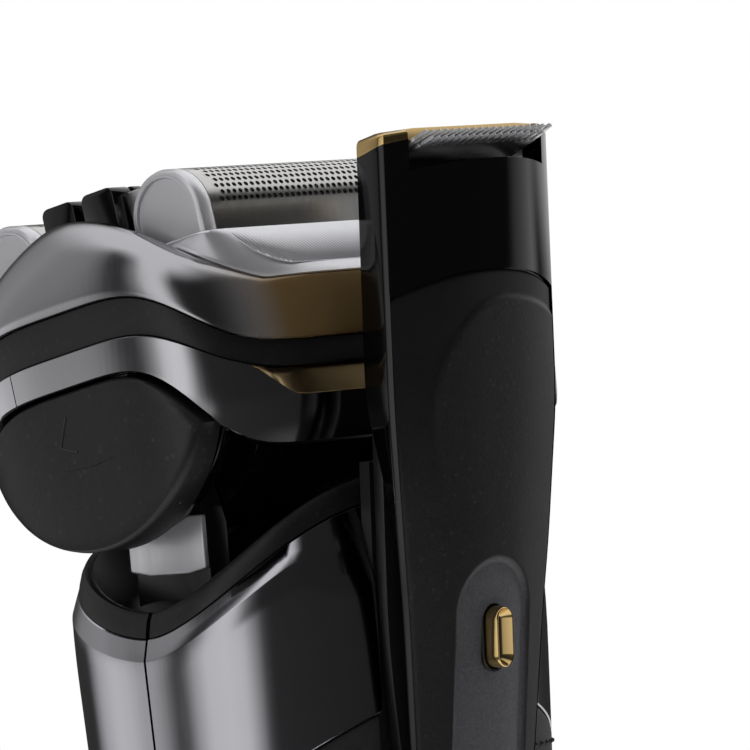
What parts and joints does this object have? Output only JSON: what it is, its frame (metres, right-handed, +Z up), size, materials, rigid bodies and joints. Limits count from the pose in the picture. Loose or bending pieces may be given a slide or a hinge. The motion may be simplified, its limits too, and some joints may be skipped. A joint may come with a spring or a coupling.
{
  "type": "electric shaver",
  "caption": "Cordless foil shaver with a swivelling head, lift-off foil cassette, release buttons and a slide-up precision trimmer on its back.",
  "frame": {"origin": "centre of the flat base that the shaver stands on", "axes": "+Z up along the handle, +Y to the back where the precision trimmer is, +X to the right of someone facing the front"},
  "size_m": [0.066, 0.063, 0.1676],
  "materials": {
    "bright_casing": "chrome-plated plastic, mirror bright",
    "collar_black": "fine matte",
    "gloss_black": "polished",
    "brushed_silver": "satin",
    "grip_rubber": "matte with fine raised dots",
    "gold": "satin gold",
    "charcoal": "fine grained matte",
    "inner_plastic": "moulded",
    "cell": "shrink sleeve",
    "board": "solder resist",
    "motor_can": "drawn can",
    "steel": "ground",
    "foil_steel": "perforated foil",
    "silver_plastic": "satin silver paint",
    "seal_rubber": "moulded",
    "contact": "plated"
  },
  "bodies": {
    "handle": {"front_shell": "bright_casing", "rear_shell": "bright_casing", "front_collar": "collar_black", "rear_collar": "collar_black", "shoulder": "gloss_black", "neck_yoke": "gloss_black", "neck_plate_left": "brushed_silver", "neck_plate_right": "brushed_silver", "grip_rear_left": "grip_rubber", "grip_rear_right": "grip_rubber", "grip_front": "grip_rubber", "front_panel": "gloss_black", "power_ring": "gold", "chassis": "inner_plastic", "battery": "cell", "circuit_board": "board", "trimmer_motor": "motor_can", "charging_inlet": "collar_black", "inlet_pins": "contact", "bottom_cap": "charcoal", "bottom_seal": "seal_rubber", "case_screws": "steel", "trimmer_guide": "collar_black"},
    "power_key": {"power_button": "charcoal"},
    "head_lock": {"lock_switch": "charcoal"},
    "head": {"head_base": "gloss_black", "swivel_pins": "steel", "head_band": "collar_black", "rear_bezel": "bright_casing", "front_bezel": "bright_casing", "head_dome": "bright_casing", "linear_motor": "motor_can"},
    "left_release": {"release_button_left": "collar_black"},
    "right_release": {"release_button_right": "collar_black"},
    "bridge": {"drive_bridge": "inner_plastic"},
    "cassette": {"cassette_frame": "silver_plastic", "rear_trim": "silver_plastic", "front_trim": "silver_plastic", "skin_guard": "steel"},
    "rear_foil_unit": {"rear_foil": "foil_steel", "rear_foil_frame": "silver_plastic"},
    "rear_cutter_unit": {"rear_cutter": "steel"},
    "front_foil_unit": {"front_foil": "foil_steel", "front_foil_frame": "silver_plastic"},
    "front_cutter_unit": {"front_cutter": "steel"},
    "middle_trimmer_unit": {"middle_trimmer": "gloss_black"},
    "middle_trimmer_blade": {"middle_trimmer_cutter": "steel"},
    "middle_comb_unit": {"middle_comb": "gloss_black"},
    "middle_comb_blade": {"middle_comb_cutter": "steel"},
    "slider": {"slider_shell": "gloss_black", "slider_panel": "charcoal", "slider_carriage": "silver_plastic", "gold_cap": "gold", "trimmer_comb": "steel"},
    "trimmer_rocker": {"trimmer_lever": "inner_plastic"},
    "trimmer_blade": {"trimmer_cutter": "steel"},
    "latch": {"latch_button": "gold"}
  },
  "joints": [
    {"name": "head_swivel", "type": "hinge", "parent": "handle", "child": "head", "pos_m": [0, -0.004, 0.141], "axis": [1, 0, 0], "range_deg": [-20, 15], "stiffness_Nm_per_rad": 0.6},
    {"name": "cassette_lift", "type": "slide", "parent": "head", "child": "cassette", "axis": [0, -0.1736, 0.9848], "range_m": [0, 0.025]},
    {"name": "rear_foil_float", "type": "slide", "parent": "cassette", "child": "rear_foil_unit", "axis": [0, -0.1736, 0.9848], "range_m": [-0.0018, 0], "stiffness_N_per_m": 400, "springref_m": 0.0012},
    {"name": "front_foil_float", "type": "slide", "parent": "cassette", "child": "front_foil_unit", "axis": [0, -0.1736, 0.9848], "range_m": [-0.0018, 0], "stiffness_N_per_m": 400, "springref_m": 0.0012},
    {"name": "middle_trimmer_float", "type": "slide", "parent": "cassette", "child": "middle_trimmer_unit", "axis": [0, -0.1736, 0.9848], "range_m": [-0.0018, 0], "stiffness_N_per_m": 300, "springref_m": 0.0012},
    {"name": "middle_comb_float", "type": "slide", "parent": "cassette", "child": "middle_comb_unit", "axis": [0, -0.1736, 0.9848], "range_m": [-0.0018, 0], "stiffness_N_per_m": 300, "springref_m": 0.0012},
    {"name": "drive_stroke", "type": "slide", "parent": "head", "child": "bridge", "axis": [1, 0, 0], "range_m": [-0.0008, 0.0008], "stiffness_N_per_m": 1500},
    {"name": "rear_cutter_stroke", "type": "slide", "parent": "rear_foil_unit", "child": "rear_cutter_unit", "axis": [1, 0, 0], "range_m": [-0.0008, 0.0008]},
    {"name": "front_cutter_stroke", "type": "slide", "parent": "front_foil_unit", "child": "front_cutter_unit", "axis": [1, 0, 0], "range_m": [-0.0008, 0.0008]},
    {"name": "middle_trimmer_stroke", "type": "slide", "parent": "middle_trimmer_unit", "child": "middle_trimmer_blade", "axis": [1, 0, 0], "range_m": [-0.0008, 0.0008]},
    {"name": "middle_comb_stroke", "type": "slide", "parent": "middle_comb_unit", "child": "middle_comb_blade", "axis": [1, 0, 0], "range_m": [-0.0008, 0.0008]},
    {"name": "left_release_press", "type": "slide", "parent": "head", "child": "left_release", "axis": [-1, 0, 0], "range_m": [0, 0.0015], "stiffness_N_per_m": 600, "springref_m": -0.001},
    {"name": "right_release_press", "type": "slide", "parent": "head", "child": "right_release", "axis": [1, 0, 0], "range_m": [0, 0.0015], "stiffness_N_per_m": 600, "springref_m": -0.001},
    {"name": "power_press", "type": "slide", "parent": "handle", "child": "power_key", "axis": [0, 1, 0], "range_m": [0, 0.0008], "stiffness_N_per_m": 900, "springref_m": -0.0006},
    {"name": "head_lock_slide", "type": "slide", "parent": "handle", "child": "head_lock", "axis": [0, 0, 1], "range_m": [0, 0.003]},
    {"name": "trimmer_slide", "type": "slide", "parent": "handle", "child": "slider", "axis": [0, 0.0698, 0.9976], "range_m": [-0.038, 0]},
    {"name": "trimmer_rock", "type": "hinge", "parent": "slider", "child": "trimmer_rocker", "pos_m": [0, 0.02558, 0.13885], "axis": [0, 0.9976, -0.0698], "range_deg": [-2.29, 2.29], "stiffness_Nm_per_rad": 0.08},
    {"name": "trimmer_stroke", "type": "slide", "parent": "slider", "child": "trimmer_blade", "axis": [1, 0, 0], "range_m": [-0.0008, 0.0008]},
    {"name": "latch_press", "type": "slide", "parent": "slider", "child": "latch", "axis": [0, -0.9976, 0.0698], "range_m": [0, 0.0012], "stiffness_N_per_m": 500, "springref_m": -0.0008}
  ],
  "couplings": [
    {"joint": "rear_cutter_stroke", "follows": "drive_stroke", "ratio": 1},
    {"joint": "front_cutter_stroke", "follows": "drive_stroke", "ratio": 1},
    {"joint": "middle_trimmer_stroke", "follows": "drive_stroke", "ratio": 1},
    {"joint": "middle_comb_stroke", "follows": "drive_stroke", "ratio": 1},
    {"joint": "trimmer_rock", "follows": "trimmer_stroke", "rad_per_m": 50}
  ]
}
